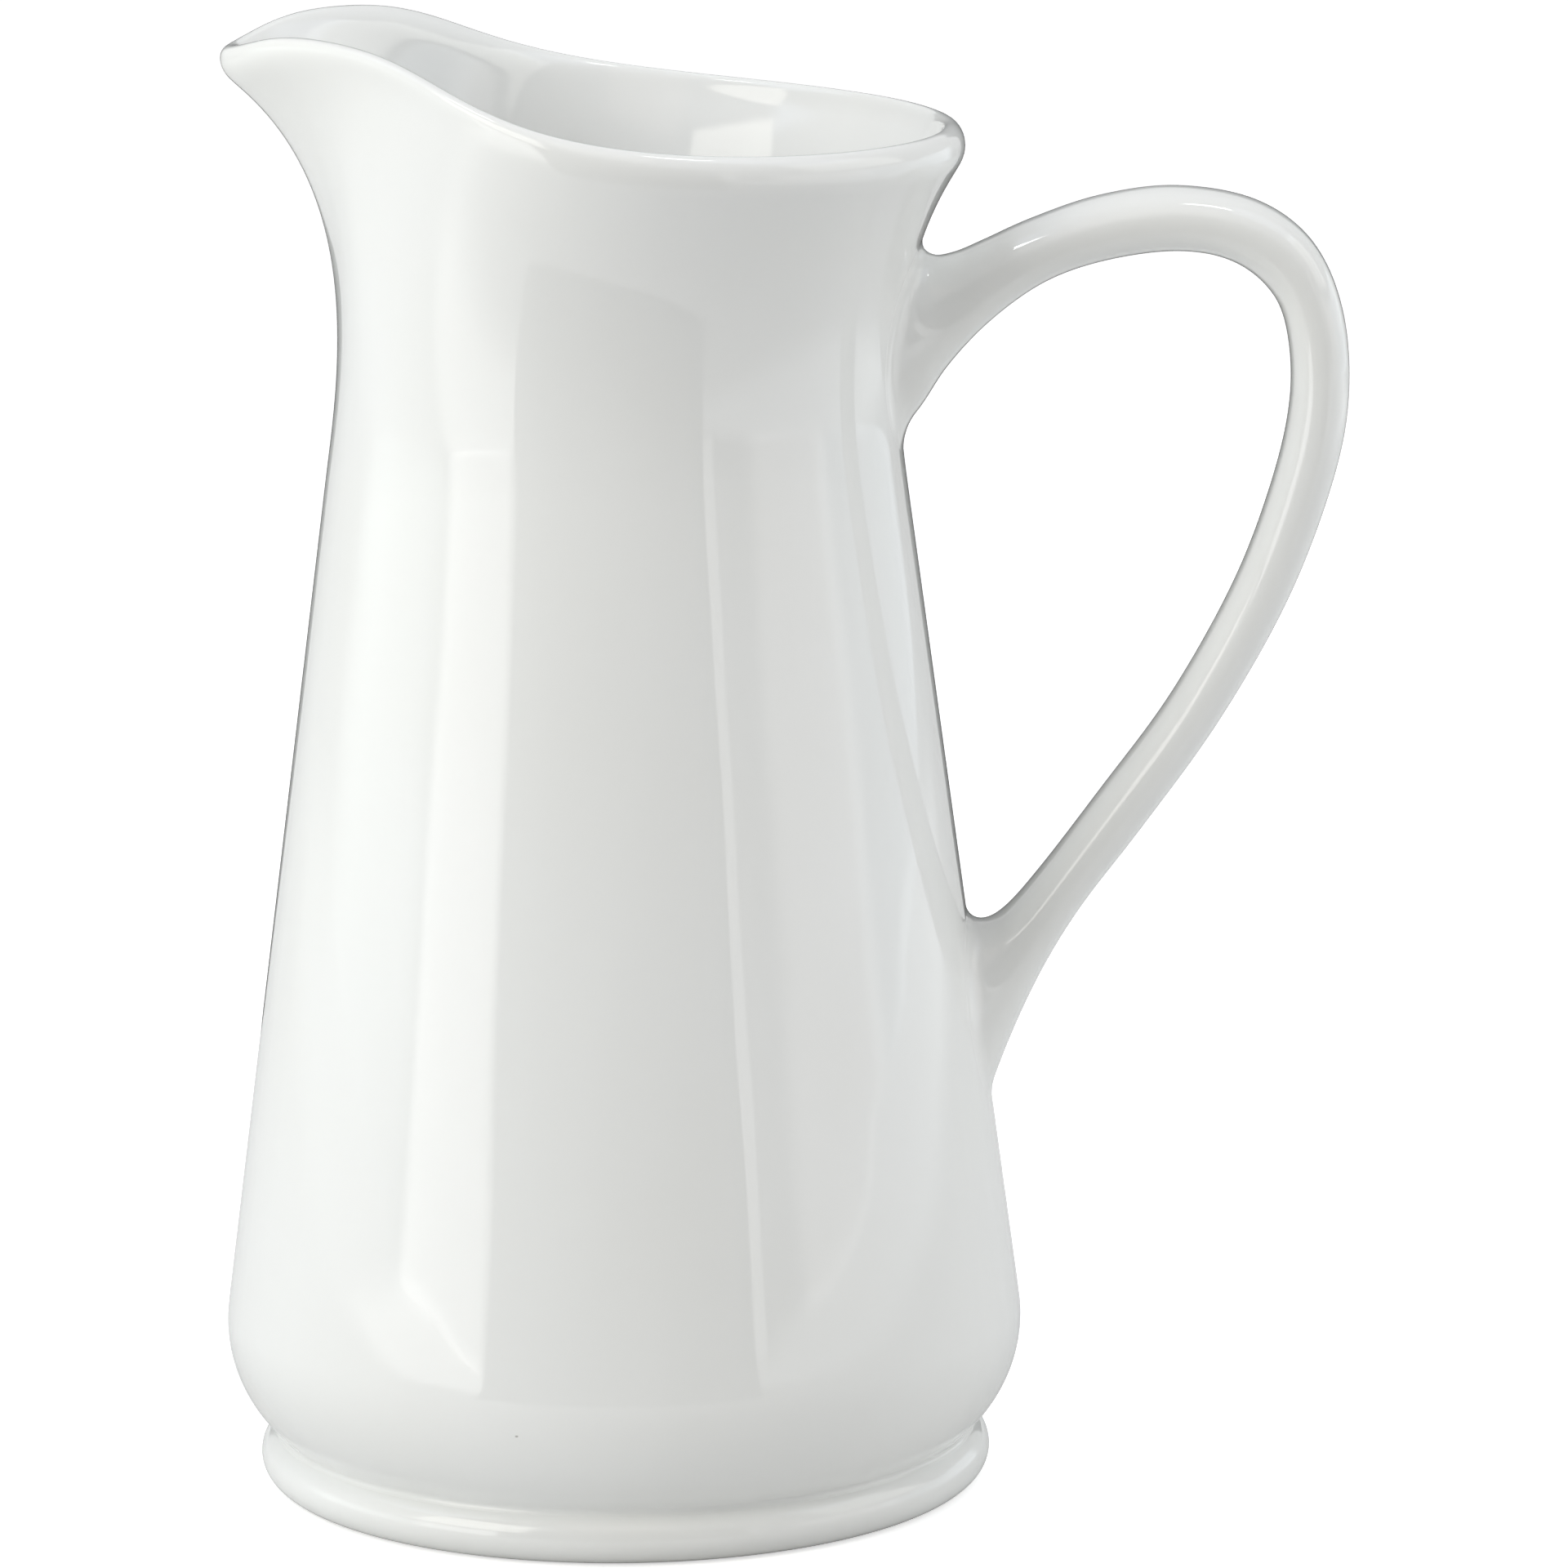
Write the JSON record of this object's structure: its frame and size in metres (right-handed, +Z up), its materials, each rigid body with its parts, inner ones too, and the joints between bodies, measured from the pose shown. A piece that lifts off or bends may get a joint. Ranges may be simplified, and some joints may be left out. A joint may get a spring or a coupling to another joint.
{
  "type": "pitcher",
  "caption": "Tall white glazed ceramic pitcher: round tapering body on a foot ring, flared rim pulled into a pouring spout, and a large loop strap handle.",
  "frame": {"origin": "centre of the foot ring, on the plane that the pitcher stands on", "axes": "+Z up, spout towards -X, handle towards +X, XZ is the plane of symmetry"},
  "size_m": [0.1768, 0.1256, 0.2306],
  "materials": {
    "white_glaze": "gloss",
    "bare_clay": "matte"
  },
  "bodies": {
    "root": {"foot_ring": "white_glaze", "vessel_body": "bare_clay", "pouring_rim": "bare_clay", "handle": "bare_clay", "upper_handle_joint": "white_glaze", "lower_handle_joint": "white_glaze", "outside_glaze": "white_glaze", "inside_glaze": "white_glaze", "rim_glaze": "white_glaze", "handle_glaze": "white_glaze"}
  },
  "joints": []
}
